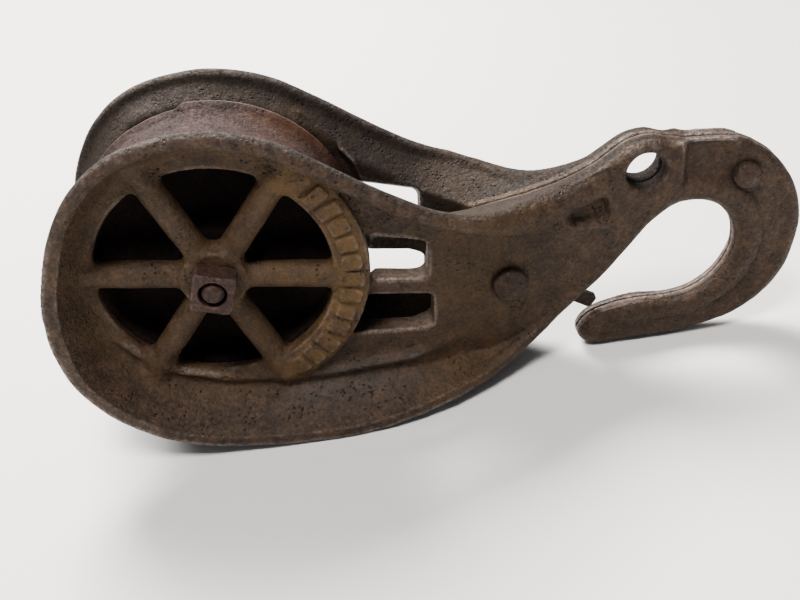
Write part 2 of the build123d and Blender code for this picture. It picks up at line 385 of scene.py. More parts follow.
@dataclass(frozen=True)
class CheekOutline:
    """The closed outline of a cheek, clockwise from the top of the wheel."""

    rim_top: Run = Run(
        6.0, 4.4, 0.38, 1.6,
        ((0, 79.9, 37.5, 0.63), (26, 76.2, 37.7, 0.63), (50, 65.6, 38, 0.6), (75, 53, 38, 0.6),
         (100, 41.8, 37.5, 0.6), (118, 37.4, 36, 0.45)),
    )
    shoulder: Run = Run(3.0, 5.6, 0.15, 5.0, ((131, 35.5, 33, 0.35),))
    neck_top: Run = Run(
        1.5, 8.6, 0.0, 8.6,
        ((147, 35.2, 26, 0.2), (158, 37, 19.5, 0.14), (170, 41.2, 15.2, 0.12),
         (183, 48, 12.6, 0.12)),
    )
    eye_top: Run = Run(
        4.0, 8.4, 0.0, 8.4,
        ((191.5, 55.5, 11.4, 0.12), (199, 61.8, 11.4, 0.12), (209, 65, 11.2, 0.12),
         (219, 63.8, 9.4, 0.12)),
    )
    worn_top: Run = Run(
        0.5, 0.9, 0.0, 0.9,
        ((228.5, 63.8, 5.8, 0.12), (239, 64.6, 5.8, 0.12), (250.5, 64.8, 5.8, 0.12)),
    )
    hook_back: Run = Run(
        0.5, 4.8, 0.0, 4.8,
        ((256, 64, 5.8, 0.12), (264, 61.2, 5.8, 0.12), (276, 54, 5.8, 0.12),
         (289, 40.5, 5.8, 0.12), (297.4, 23, 5.8, 0.12), (299.6, 4, 5.8, 0.12),
         (297, -14, 6.4, 0.12), (289, -28.5, 6.8, 0.12), (276, -40.5, 7.2, 0.12)),
    )
    arm: Run = Run(
        1.0, 6.8, 0.0, 6.8,
        ((258, -50, 7.1, 0.12), (236, -55.6, 7.1, 0.12), (214, -59.2, 7.1, 0.12),
         (202, -61.2, 7.1, 0.12), (194, -58.4, 7, 0.12), (191.2, -51.5, 7, 0.12)),
    )
    arm_top: Run = Run(
        1.0, 7.6, 0.0, 5.8,
        ((195.5, -43.2, 7.5, 0.12), (205, -37.2, 7.5, 0.12), (220, -32.6, 7.5, 0.12)),
    )
    throat: Run = Run(
        1.0, 8.8, 0.0, 8.6,
        ((238, -30, 8.6, 0.2), (250.5, -25, 8.6, 0.2), (260.5, -14.5, 8.6, 0.2),
         (265.4, 1, 8.6, 0.2), (262.5, 15, 8.6, 0.2), (254, 24.6, 8.6, 0.2),
         (242, 28.3, 8.6, 0.2), (229, 25.6, 8.6, 0.2), (218, 16, 8.8, 0.2)),
    )
    neck_inside: Run = Run(3.0, 7.0, 0.0, 7.0, ((207, 0, 8.8, 0.2),))
    neck_under: Run = Run(
        6.0, 4.0, 0.0, 4.0,
        ((196, -14.5, 10, 0.14), (187, -25.5, 10.8, 0.14), (177, -37.4, 12.8, 0.14),
         (162, -52.6, 18.5, 0.2), (143, -63.4, 29.5, 0.32)),
    )
    belly: Run = Run(
        6.5, 1.2, 0.0, 1.2,
        ((122, -69.3, 40, 0.43), (104, -74.3, 46, 0.56), (88, -79.2, 49, 0.6),
         (68, -84, 50.6, 0.62), (45, -87.2, 51.2, 0.63), (20, -88.8, 51.4, 0.63),
         (-5, -88.4, 51.4, 0.63), (-30, -82.6, 51, 0.63), (-52, -70, 50, 0.63),
         (-68.5, -52, 48.5, 0.63)),
    )
    heel: Run = Run(
        7.6, 1.0, 0.0, 1.0,
        ((-76.7, -31, 46.8, 0.63), (-79.2, -8, 44.9, 0.63), (-76.0, 14, 43.1, 0.63)),
    )
    rim_left: Run = Run(
        6.8, 3.8, 0.36, 1.2,
        ((-69.8, 34, 41.3, 0.63), (-59.8, 52, 39.8, 0.63), (-43.8, 67.3, 38.5, 0.63),
         (-22.5, 76.4, 37.8, 0.63)),
    )

    def runs(self) -> tuple[Run, ...]:
        """The runs in order round the outline."""
        return (
            self.rim_top, self.shoulder, self.neck_top, self.eye_top, self.worn_top, self.hook_back,
            self.arm, self.arm_top, self.throat, self.neck_inside, self.neck_under, self.belly,
            self.heel, self.rim_left,
        )

    def table(self) -> np.ndarray:
        """Rows of x, z, w, growth, lip, bead, proud and rounding for each outline point."""
        rows = [(*p, r.lip, r.bead, r.proud, r.rounding) for r in self.runs() for p in r.points]
        return np.array(rows, float)

    def smooth(self, pieces: int = 10) -> np.ndarray:
        """The outline as a smooth closed curve.

        Args:
            pieces: number of chords between two outline points.

        Returns:
            Rows as in the table, closed by the first row again.
        """
        rows = self.table()
        before, after, beyond = np.roll(rows, 1, 0), np.roll(rows, -1, 0), np.roll(rows, -2, 0)
        curve = []
        for t in np.arange(pieces) / pieces:
            bent = 0.5 * (
                2 * rows + (after - before) * t
                + (2 * before - 5 * rows + 4 * after - beyond) * t**2
                + (3 * rows - before - 3 * after + beyond) * t**3
            )
            straight = rows * (1 - t) + after * t
            curve.append(np.concatenate((bent[:, :2], straight[:, 2:]), axis=1))
        joined = np.stack(curve, 1).reshape(-1, rows.shape[1])
        return np.concatenate((joined, joined[:1]))


@dataclass
class OutlineFields:
    """Distance inside the outline, and the nearest outline point's sizes, over x and z."""

    depth: np.ndarray
    edge_w: np.ndarray
    growth: np.ndarray
    lip: np.ndarray
    bead: np.ndarray
    proud: np.ndarray
    rounding: np.ndarray

    @classmethod
    def over(cls, grid: Grid, outline: CheekOutline) -> "OutlineFields":
        """Measures the outline over a grid.

        Args:
            grid: the cheek's grid.
            outline: the outline.

        Returns:
            The fields, with the depth positive inside.
        """
        curve = outline.smooth().astype(np.float32)
        start, end = curve[:-1], curve[1:]
        points = np.stack(np.broadcast_arrays(grid.x[:, :, 0], grid.z[:, :, 0]), -1).reshape(-1, 2)
        best = np.full(len(points), 1e9, np.float32)
        row = np.zeros((len(points), curve.shape[1] - 2), np.float32)
        odd = np.zeros(len(points), bool)
        for a, b in zip(start, end):
            chord = b[:2] - a[:2]
            t = np.clip((points - a[:2]) @ chord / max(float(chord @ chord), 1e-9), 0, 1)
            gap = points - a[:2] - t[:, None] * chord
            far = gap[:, 0] ** 2 + gap[:, 1] ** 2
            nearer = far < best
            best[nearer] = far[nearer]
            row[nearer] = a[2:] + t[nearer, None] * (b[2:] - a[2:])
            level = (a[1] <= points[:, 1]) != (b[1] <= points[:, 1])
            if level.any():
                slant = chord[0] / (chord[1] if abs(chord[1]) > 1e-9 else 1e-9)
                odd ^= level & (points[:, 0] < a[0] + (points[:, 1] - a[1]) * slant)
        depth = np.where(odd, 1, -1) * np.sqrt(best)
        shape = grid.shape[:2]
        fields = [blur(row[:, k].reshape(shape), 2, 1) for k in range(row.shape[1])]
        return cls(depth.astype(np.float32).reshape(shape), *fields)


def slant_box(x: np.ndarray, z: np.ndarray, corners: tuple, rounding: float) -> np.ndarray:
    """Distance to a convex four-cornered outline with rounded corners.

    Args:
        x: x of the grid.
        z: z of the grid.
        corners: four (x, z) corners, clockwise.
        rounding: corner radius.

    Returns:
        The field over x and z, negative inside.
    """
    value = None
    for (x0, z0), (x1, z1) in zip(corners, corners[1:] + corners[:1]):
        length = math.hypot(x1 - x0, z1 - z0)
        plane = ((x1 - x0) * (z - z0) - (z1 - z0) * (x - x0)) / length
        value = plane if value is None else round_max(value, plane, rounding)
    return value


@dataclass
class Cheek:
    """One cast cheek: spoked ring, flared rim, side bars, shank half, eye half and hook half.

    Names that end in _r are distances from the axle, in _w from the joint plane; swell and grit
    are each the depth and the cell size of a random unevenness.
    """

    side: Side
    seed: int
    opening_r: float = 57.0
    ring_back: float = 20.0
    ring_face: float = 28.0
    band_r: float = 75.0
    band_face: float = 30.0
    band_spread: float = math.radians(59)
    pads: int = 13
    pad_pitch: float = math.radians(8.7)
    pad_size: tuple[float, float, float] = (13.2, 8.5, 1.5)
    spokes: int = 6
    spoke_r: float = 6.9
    spoke_w: float = 24.6
    spoke_reach: float = 71.0
    hub_r: float = 16.5
    hub_face: float = 32.4
    bar_back: float = 15.0
    housing_r: tuple[float, float] = (74, 78)
    housing_half_z: float = 45.0
    wedge_x: tuple[float, float] = (98, 127)
    face_x: tuple = (94, 105, 122, 137, 162, 178, 200, 214, 300)
    face_w: tuple = (27.0, 26.5, 21, 17.4, 13.8, 12.2, 11.8, 10.6, 10.0)
    panel_w: float = 5.0
    arm_w: float = 7.1
    joint_half: float = 3.0
    window_corner: float = 3.5
    window_taper: float = 0.62
    upper_window: tuple = ((58, 23.5), (101.5, 17.5), (103, -2.5), (58, -2.5))
    lower_window: tuple = ((58, -12), (106.5, -12), (108.5, -32), (58, -35.5))
    eye_r: float = 9.5
    ridge: tuple = (
        (-62, -20), (-54, -34), (-38, -48), (-21, -57), (4, -62), (43, -61), (68, -56), (95, -50),
        (120, -44),
    )
    ridge_w: float = 26.8
    ridge_r: float = 2.6
    pocket: tuple = ((170, 33), (191, 36), (196, 21), (175, 19))
    pocket_corner: float = 4.0
    pocket_depth: float = 4.2
    eye_edge: float = 3.4
    joint_bevel: float = 0.9
    swell: tuple[float, float] = (0.22, 11.0)
    grit: tuple[float, float] = (0.06, 3.2)

    def back_level(self, x: np.ndarray, z: np.ndarray) -> np.ndarray:
        """Distance of the cheek's inner surface from the joint plane, before the rim."""
        half = self.housing_half_z
        from_axle = np.hypot(np.maximum(x, 0), np.clip(z, -half, half))
        housing = np.interp(from_axle, self.housing_r, (self.ring_back - self.bar_back, 0.0))
        return (np.interp(x, self.wedge_x, (self.bar_back, 0.0)) + housing).astype(np.float32)

    def face_level(self, x: np.ndarray, z: np.ndarray) -> np.ndarray:
        """Distance of the cheek's outer face from the joint plane, before the rim."""
        face = np.interp(x, self.face_x, self.face_w)
        fading = ease(46, 30, z)
        step = (x - (225 + (67 - z) * 0.12) + 9 * fading) / (4 + 16 * fading)
        face = face - (face - self.panel_w) * ease(0, 1, step) * ease(180, 190, x)
        face = face + (self.arm_w - face) * ease(-16, -42, z) * ease(186, 190, x)
        pocket = slant_box(x, z, self.pocket, self.pocket_corner)
        face = face - self.pocket_depth * ease(1.0, -3.0, pocket)
        rim = np.exp(-(((pocket - 2.6) / 1.7) ** 2)) * ease(-1.0, -6.0, (x - 186) * 0.4 + z - 27)
        face = face + 0.9 * rim
        return blur(face.astype(np.float32), 1, 1)

    def wheel_side(self, grid: Grid, body: np.ndarray, below: np.ndarray) -> np.ndarray:
        """Opens the ring and adds the band, its bars, the spokes and the hub.

        Args:
            grid: the cheek's grid.
            body: the cheek so far.
            below: the field of the cheek's inner surface, which nothing here may pass.

        Returns:
            The cheek with its wheel side.
        """
        x, z, w = grid.x, grid.z, grid.w
        radius, angle = np.hypot(x, z), np.arctan2(z, x)
        body = round_max(body, self.opening_r - radius, 2.2)
        spread = (np.abs(angle) - self.band_spread) * radius
        ring = np.maximum(radius - self.band_r, self.opening_r - radius)
        level = np.maximum(w - self.band_face, self.ring_back + 4 - w)
        band = round_max(round_max(ring, spread, 3.0), level, 1.8)
        body = soft_min(body, band, 1.4)
        bars = None
        pads_r = (self.opening_r + self.band_r) / 2
        rng = np.random.default_rng(self.seed)
        for k in range(self.pads):
            turn = (k - (self.pads - 1) / 2) * self.pad_pitch + rng.uniform(-0.012, 0.012)
            out = np.abs(x * math.cos(turn) + z * math.sin(turn) - pads_r)
            over = np.abs(z * math.cos(turn) - x * math.sin(turn))
            long = out - self.pad_size[0] / 2 + rng.uniform(0, 1.2)
            wide = over - self.pad_size[1] / 2 + rng.uniform(-0.3, 0.5)
            bar = round_max(long, wide, 2.0)
            bars = bar if bars is None else np.minimum(bars, bar)
        bars = round_max(bars, np.maximum(w - self.band_face - self.pad_size[2], 26 - w), 1.0)
        body = soft_min(body, bars, 0.9)
        for k in range(self.spokes):
            turn = 2 * math.pi * k / self.spokes
            out = x * math.cos(turn) + z * math.sin(turn)
            over = z * math.cos(turn) - x * math.sin(turn)
            reach = self.opening_r + 4 if k == 0 else self.spoke_reach
            rod = np.hypot(over, w - self.spoke_w) - self.spoke_r
            rod = round_max(rod, np.maximum(out - reach, -out), 3.0)
            rod = round_max(rod, np.maximum(self.ring_back - w, below), 1.2)
            body = soft_min(body, rod, 4.5)
        hub = round_max(radius - self.hub_r, np.maximum(w - self.hub_face, self.ring_back - w), 2.0)
        return soft_min(body, hub, 4.0)

    def ridge_rod(self, grid: Grid) -> np.ndarray:
        """The low ridge where the flat of the cheek turns into the flared wall."""
        x, z = grid.x[:, :, 0], grid.z[:, :, 0]
        nearest = None
        for (x0, z0), (x1, z1) in zip(self.ridge, self.ridge[1:]):
            length = math.hypot(x1 - x0, z1 - z0)
            t = np.clip(((x - x0) * (x1 - x0) + (z - z0) * (z1 - z0)) / length**2, 0, 1)
            gap = np.hypot(x - x0 - t * (x1 - x0), z - z0 - t * (z1 - z0))
            nearest = gap if nearest is None else np.minimum(nearest, gap)
        low = self.ridge_w - 6.5 * ease(96, 122, x)
        thick = self.ridge_r * (0.25 + 0.75 * ease(-62, -38, x) * ease(121, 96, x))
        return np.hypot(nearest[:, :, None], grid.w - low[:, :, None]) - thick[:, :, None]

    def carve(self, grid: Grid) -> tuple[np.ndarray, OutlineFields, np.ndarray]:
        """Builds the cheek's distance field.

        Args:
            grid: the cheek's grid.

        Returns:
            The field, the outline fields behind it, and the level of the inner surface.
        """
        outline = OutlineFields.over(grid, CheekOutline())
        flat_x, flat_z = np.broadcast_arrays(grid.x[:, :, 0], grid.z[:, :, 0])
        depth = outline.depth
        housing = self.back_level(flat_x, flat_z)
        back = soft_max(housing, outline.edge_w - depth / outline.growth, 3.0)
        inner = outline.edge_w - (depth - outline.lip) / np.maximum(outline.growth, 0.3)
        face = soft_max(self.face_level(flat_x, flat_z), np.minimum(outline.edge_w, inner), 5.0)
        slope_back = 1 / np.sqrt(1 + sum(g**2 for g in np.gradient(back, grid.step)))
        slope_face = 1 / np.sqrt(1 + sum(g**2 for g in np.gradient(face, grid.step)))
        above = (grid.w - face[:, :, None]) * slope_face[:, :, None]
        below = (back[:, :, None] - grid.w) * slope_back[:, :, None]
        outside = -depth[:, :, None]
        body = round_max(above, outside, outline.rounding[:, :, None])
        edge = (0.7 + 1.9 * ease(2, 10, housing))[:, :, None]
        body = round_max(body, below, edge)
        roll = np.maximum(outline.bead, 0.01)[:, :, None]
        drop = roll * (1 - outline.proud[:, :, None])
        tube = np.hypot(depth[:, :, None] - roll, grid.w - outline.edge_w[:, :, None] + drop)
        body = soft_min(body, tube - roll, 1.4)
        widening = self.window_taper * np.maximum(self.ring_face - grid.w, 0) * ease(0, 14, grid.z)
        for corners, rise in ((self.upper_window, widening), (self.lower_window, 0.0)):
            window = slant_box(grid.x, grid.z - rise, corners, self.window_corner)
            window = round_max(window, self.band_r - 0.6 - np.hypot(grid.x, grid.z), 1.0)
            body = round_max(body, -window, 1.6)
        body = soft_min(body, self.ridge_rod(grid), 4.0)
        body = self.wheel_side(grid, body, below)
        eye = np.hypot(grid.x - EYE_IN_CASTING[0], grid.z - EYE_IN_CASTING[1]) - self.eye_r
        body = round_max(body, -eye, self.eye_edge)
        body = round_max(body, 0.02 - grid.w, self.joint_bevel)
        (swell, swell_cell), (grit, grit_cell) = self.swell, self.grit
        body = body + swell * (1 + wander(grid, swell_cell, self.seed))
        body = body + grit * wander(grid, grit_cell, self.seed + 1)
        return body.astype(np.float32), outline, back

    def build(self, frame: CastingFrame, finish: bpy.types.Material) -> bpy.types.Object:
        """Carves, skins, places and dresses the cheek."""
        step = FINE_STEP
        grid = Grid((-84.5, -93.5, -2 * step), (303.5, 84.5, 55.0), step)
        body, outline, back = self.carve(grid)
        vertices, quads = skin(grid, body)
        # Proud edges take rubbed wear with a painted highlight; hollows take painted shade.
        edge = grid.sample(blur(body, max(1, round(1.8 / step))), vertices)
        radius = np.hypot(vertices[:, 0], vertices[:, 1])
        x, z, w = vertices.T
        wheel = (1 - ease(66, 76, radius)) * (0.25 + 0.2 * ease(-40, 50, x))
        shank = 0.35 * ease(96, 112, x) * (1 - ease(135, 175, x))
        spread = 1 - ease(self.band_spread, self.band_spread + 0.12, np.abs(np.arctan2(z, x)))
        band = 0.75 * ease(55, 59, radius) * (1 - ease(73, 77, radius)) * spread
        # Inner surfaces beside the sheave get painted shade.
        inward = (1 - ease(0.8, 3.0, w - grid.sample(back, vertices))) * (w > self.joint_half)
        # The eye's bore gets painted shade, with dark rust.
        bored = ease(2.0, 0.6, np.hypot(x - EYE_IN_CASTING[0], z - EYE_IN_CASTING[1]) - self.eye_r)
        bored = bored * ease(10, 7, w)
        # Pale dust with a painted sheen on the flared wall.
        dust = ease(7, 27, grid.sample(outline.depth, vertices))
        dust = dust * ease(76, 81, radius) * ease(26, 32, w)
        tones = {
            "edge": edge,
            "warmth": np.clip(wheel + band + shank, 0, 1),
            "shade_and_grime": np.maximum(0.8 * inward, bored),
            "dust": dust,
        }
        # A dark ring at the foot of each rivet head is a painted shadow.
        for at, reach in RIVET_RINGS:
            ring = ease(reach + 2.4, reach, np.hypot(x - at[0], z - at[1])) * (w > self.joint_half)
            tones["shade_and_grime"] = np.maximum(tones["shade_and_grime"], 0.75 * ring)
        if self.side is Side.REAR:
            quads = quads[:, ::-1]
        name = f"{self.side.name.lower()}_cheek_casting"
        thing = make_object(name, frame.place(vertices, self.side), quads, tones)
        thing.data.materials.append(finish)
        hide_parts(f"{self.side.name.lower()}_cheek")
        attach(thing, "frame")
        return thing


# ---- the sheave


@dataclass
class Sheave:
    """The grooved wheel: a turned rim and hub on a thin web, the rear flange worn in one place."""

    radius: float = 72.0
    half_w: float = 18.0
    rim_inner_r: float = 57.0
    web_half: float = 5.5
    hub_r: float = 21.0
    hub_half: float = 18.8
    bore_r: float = 11.2
    worn_from: float = math.radians(101)
    worn_to: float = math.radians(172)
    worn_depth: float = 2.6
    around: int = 360
    seed: int = 31

    def section(self) -> np.ndarray:
        """The closed section as rows of radius and w, with its corners rounded off."""
        flat, half = self.radius, self.half_w
        groove = [
            (flat - 5.0 * math.sqrt(max(0.0, 1 - (w / (half - 2)) ** 2)) ** 1.3, w)
            for w in np.linspace(-(half - 2.2), half - 2.2, 17)
        ]
        rows = [
            (self.bore_r, -self.hub_half + 0.8), (self.bore_r + 0.8, -self.hub_half),
            (self.hub_r - 1.6, -self.hub_half), (self.hub_r - 0.2, -self.hub_half + 1.2),
            (self.hub_r + 0.6, -self.web_half - 4), (self.hub_r + 4.6, -self.web_half - 0.3),
            (self.hub_r + 9, -self.web_half), (self.rim_inner_r - 9, -self.web_half),
            (self.rim_inner_r - 4.6, -self.web_half - 0.4),
            (self.rim_inner_r - 0.7, -self.web_half - 4.5),
            (self.rim_inner_r, -half + 1.6), (self.rim_inner_r + 0.5, -half + 0.5),
            (self.rim_inner_r + 1.7, -half), (flat - 1.8, -half), (flat - 0.5, -half + 0.5),
        ]
        mirrored = [(r, -w) for r, w in rows]
        closed = np.array(rows + groove + mirrored[::-1])
        fine = []
        for a, b in zip(closed, np.roll(closed, -1, 0)):
            count = max(1, int(np.hypot(*(b - a)) / 2.2))
            fine.extend(a + (b - a) * t for t in np.arange(count) / count)
        return np.array(fine)

    def build(self, frame: CastingFrame, finish: bpy.types.Material) -> bpy.types.Object:
        """Turns the section round the axle, wears it and dresses it."""
        section = self.section()
        rng = np.random.default_rng(self.seed)
        turn = np.arange(self.around) * 2 * math.pi / self.around
        angle, radius = np.meshgrid(turn, section[:, 0], indexing="ij")
        level = np.broadcast_to(section[:, 1], angle.shape).copy()
        radius = radius.copy()
        outer = ease(62, 70, radius)
        worn = ease(self.worn_from, self.worn_from + 0.09, angle)
        worn = worn * ease(self.worn_to, self.worn_to - 0.3, angle)
        rear = ease(3, 14, level)
        chip = sum(
            math.sqrt(1 / k) * np.sin(k * angle + rng.uniform(0, 6.3))
            for k in (5, 9, 14, 23, 37, 61)
        )
        radius -= outer * rear * worn * (self.worn_depth + 0.25 * chip)
        radius -= outer * (0.28 + 0.07 * chip)
        level *= 1 - 0.004 * (1 + np.sin(3 * angle + 1.2)) * outer
        patch = ease(66, 69, radius) * ease(0.35, 0.55, angle) * ease(1.5, 1.1, angle)
        tones = {
            # Flange rims take rubbed wear with a painted highlight.
            "edge": (0.7 * outer * ease(15.5, 17.8, np.abs(level))).ravel(),
            # Painted shade, with some grime, on the web and hub deep between the cheeks.
            "shade_and_grime": (1 - ease(55, 61, radius)).ravel(),
            "warmth": patch.ravel(),
        }
        across = len(section)
        index = np.arange(self.around * across).reshape(self.around, across)
        ahead = np.roll(index, -1, 0)
        quads = np.stack((index, np.roll(index, -1, 1), np.roll(ahead, -1, 1), ahead), -1)
        quads = quads.reshape(-1, 4)
        rows = np.stack((radius * np.cos(angle), radius * np.sin(angle), level), -1).reshape(-1, 3)
        thing = make_object("sheave_casting", frame.place(rows, Side.REAR), quads[:, ::-1], tones)
        thing.data.materials.append(finish)
        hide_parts("sheave")
        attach(thing, "sheave_wheel")
        return thing


# ---- bolt, nut, rivets, keeper


@dataclass
class ForgedPiece:
    """A small forged piece, carved as a field on a fine grid.

    Attributes:
        name: name of the visible piece.
        node: the CAD node that it stands for.
        material_slot: the record's slot for its finish.
        low: lowest corner of its grid, x, z and w outwards from the joint plane.
        high: highest corner of its grid.
        shape: builds the field from the grid.
        step: grid step in millimetres.
        seed: seed of its hammered and rusted surface.
        rough: depth of that surface in millimetres.
    """

    name: str
    node: str
    material_slot: str
    low: tuple[float, float, float]
    high: tuple[float, float, float]
    shape: Callable[[Grid], np.ndarray]
    step: float = 0.42
    seed: int = 3
    rough: float = 0.16

    def build(self, frame: CastingFrame, finish: bpy.types.Material) -> bpy.types.Object:
        """Carves, skins, places and dresses the piece."""
        grid = Grid(self.low, self.high, self.step * (1))
        field_values = self.shape(grid)
        dents, scale = wander(grid, 4.2, self.seed), wander(grid, 1.2, self.seed + 1)
        worn = self.rough * (0.6 + 0.4 * dents + 0.5 * scale)
        field_values = (field_values + worn).astype(np.float32)
        vertices, quads = skin(grid, field_values)
        # Proud edges take rubbed wear with a painted highlight; hollows take painted shade.
        tones = {"edge": grid.sample(blur(field_values, 2), vertices)}
        thing = make_object(self.name, frame.place(vertices, Side.FRONT), quads, tones)
        thing.data.materials.append(finish)
        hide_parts(self.node)
        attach(thing, "frame")
        return thing


@dataclass
class Fastenings:
    """The axle bolt and its square nut, the two rivets and the keeper at the hook's mouth."""

    bolt_r: float = 6.35
    bolt_end: float = 44.5
    bolt_tail: float = 35.0
    bolt_dome: float = 4.6
    hub_face: float = 32.5
    head_across: float = 19.0
    head_thick: float = 8.7
    head_turn: float = 0.2
    crown_centre: float = 16.5
    crown_r: float = 24.9
    nut_across: float = 20.5
    nut_thick: float = 11.1
    nut_turn: float = math.radians(-10)
    shank_seat: float = 16.2
    shank_head: tuple[float, float] = (9.2, 6.2)
    hook_seat: float = 5.6
    hook_head: tuple[float, float] = (7.2, 5.0)
    keeper_end: tuple[float, float] = (198.5, -35.2)
    keeper_turn: float = math.radians(-24)
    keeper_size: tuple[float, float, float] = (38.0, 8.4, 2.3)

    def square(self, grid: Grid, across: float, turn: float, low: float, high: float) -> np.ndarray:
        """A square bar end whose corners are chamfered all round, as a field."""
        u = np.abs(grid.x * math.cos(turn) + grid.z * math.sin(turn)) - across / 2
        v = np.abs(grid.z * math.cos(turn) - grid.x * math.sin(turn)) - across / 2
        sides = round_max(u, v, 1.6)
        cap = round_max(sides, np.maximum(grid.w - high, low - grid.w), 0.9)
        cone = (np.hypot(grid.x, grid.z) - across * 0.63 + (grid.w - high) * 0.9) * 0.72
        back = (np.hypot(grid.x, grid.z) - across * 0.63 + (low - grid.w) * 0.9) * 0.72
        return round_max(round_max(cap, cone, 0.9), back, 0.9)

    def bolt(self, grid: Grid) -> np.ndarray:
        """The bolt, with its head behind and its end peened over in front of the nut."""
        radius = np.hypot(grid.x, grid.z)
        ends = np.maximum(grid.w - self.bolt_end, -self.bolt_tail - grid.w)
        stem = round_max(radius - self.bolt_r + 0.5, ends, self.bolt_dome)
        top = -self.hub_face - self.head_thick
        head = self.square(grid, self.head_across, self.head_turn, top, -self.hub_face)
        crown = np.sqrt(radius**2 + (grid.w + self.crown_centre) ** 2) - self.crown_r
        return np.minimum(stem, round_max(head, crown, 1.0))

    def nut(self, grid: Grid) -> np.ndarray:
        """The square nut with its threaded hole."""
        blank = self.square(
            grid, self.nut_across, self.nut_turn, self.hub_face, self.hub_face + self.nut_thick
        )
        return round_max(blank, self.bolt_r + 0.3 - np.hypot(grid.x, grid.z), 1.2)

    def dome(
        self, grid: Grid, at: tuple[float, float], seat: float, head: tuple[float, float]
    ) -> np.ndarray:
        """One rivet with its two domed heads.

        Args:
            grid: the rivet's grid.
            at: x and z of its axis.
            seat: distance of each head's seat from the joint plane.
            head: radius and height of the head.

        Returns:
            The rivet's field.
        """
        radius = np.hypot(grid.x - at[0], grid.z - at[1])
        out = np.abs(grid.w)
        ball = (head[0] ** 2 + head[1] ** 2) / (2 * head[1])
        cap = np.hypot(radius, out - seat - head[1] + ball) - ball
        button = round_max(radius - head[0] + 0.2, out - seat - head[1] * 0.72, 2.4)
        cap = soft_min(cap, button, 1.0)
        cap = round_max(np.maximum(cap, seat - 4.0 - out), radius - head[0] + 0.15, 0.6)
        return np.minimum(cap, np.maximum(radius - head[0] * 0.55, out - seat))

    def keeper(self, grid: Grid) -> np.ndarray:
        """The flat keeper tongue, rounded at its free end."""
        length, height, half = self.keeper_size
        dx, dz = grid.x - self.keeper_end[0], grid.z - self.keeper_end[1]
        cos_turn, sin_turn = math.cos(self.keeper_turn), math.sin(self.keeper_turn)
        along = dx * cos_turn + dz * sin_turn
        across = np.abs(dz * cos_turn - dx * sin_turn) - height / 2 + 0.2
        flat = round_max(across, np.maximum(along + 0.2, -length + 0.2 - along), 2.2)
        return round_max(flat, np.abs(grid.w) - half + 0.1, 0.7)

    def pieces(self) -> list[ForgedPiece]:
        """The forged pieces in the order in which they are built."""
        sx, sz = SHANK_RIVET
        hx, hz = HOOK_RIVET
        kx, kz = self.keeper_end
        return [
            ForgedPiece("bolt_forging", "axle_bolt", "fastener_steel", (-14, -14, -42.5),
                        (14, 14, 45.5), self.bolt, 0.5, 41),
            ForgedPiece("nut_forging", "axle_nut", "fastener_steel", (-15, -15, 31.5),
                        (15, 15, 44.8), self.nut, 0.38, 43),
            ForgedPiece("shank_rivet_forging", "shank_rivet", "rivet_steel",
                        (sx - 11, sz - 11, -24.5), (sx + 11, sz + 11, 24.5),
                        lambda grid: self.dome(grid, SHANK_RIVET, self.shank_seat, self.shank_head),
                        0.4, 45, 0.26),
            ForgedPiece("hook_rivet_forging", "hook_rivet", "rivet_steel", (hx - 9, hz - 9, -13),
                        (hx + 9, hz + 9, 13),
                        lambda grid: self.dome(grid, HOOK_RIVET, self.hook_seat, self.hook_head),
                        0.36, 47, 0.22),
            ForgedPiece("keeper_forging", "hook_keeper", "rivet_steel", (kx - 38, kz - 6, -3),
                        (kx + 4, kz + 22, 3), self.keeper, 0.42, 49),
        ]


# ---- node groups


